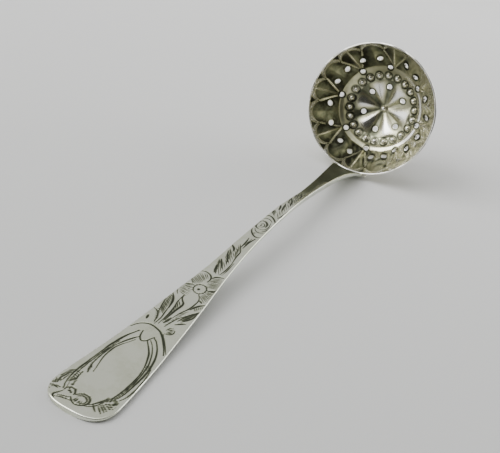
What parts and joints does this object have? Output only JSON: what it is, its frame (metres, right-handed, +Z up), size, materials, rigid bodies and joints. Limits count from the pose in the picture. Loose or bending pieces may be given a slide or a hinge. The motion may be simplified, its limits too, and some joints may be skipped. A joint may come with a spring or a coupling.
{
  "type": "sugar sifter spoon",
  "caption": "Antique silver sugar sifter spoon: round leaning bowl, embossed with petals and beads and pierced, on a long engraved handle that tapers from a broad rounded end to a narrow neck.",
  "frame": {"origin": "on the table, under the middle of the spoon's whole length", "axes": "+X from the handle's rounded end towards the bowl, +Y across the spoon, +Z up from the table"},
  "size_m": [0.17, 0.0426, 0.0425],
  "materials": {
    "darkened_silver": "polished silver with old tarnish, warm grey, highlights on the embossing",
    "silver": "polished silver with fine wear, dark lines in the engraving",
    "solder": "duller silver solder"
  },
  "bodies": {
    "root": {"bowl": "darkened_silver", "handle": "silver", "solder_seam": "solder"}
  },
  "joints": []
}
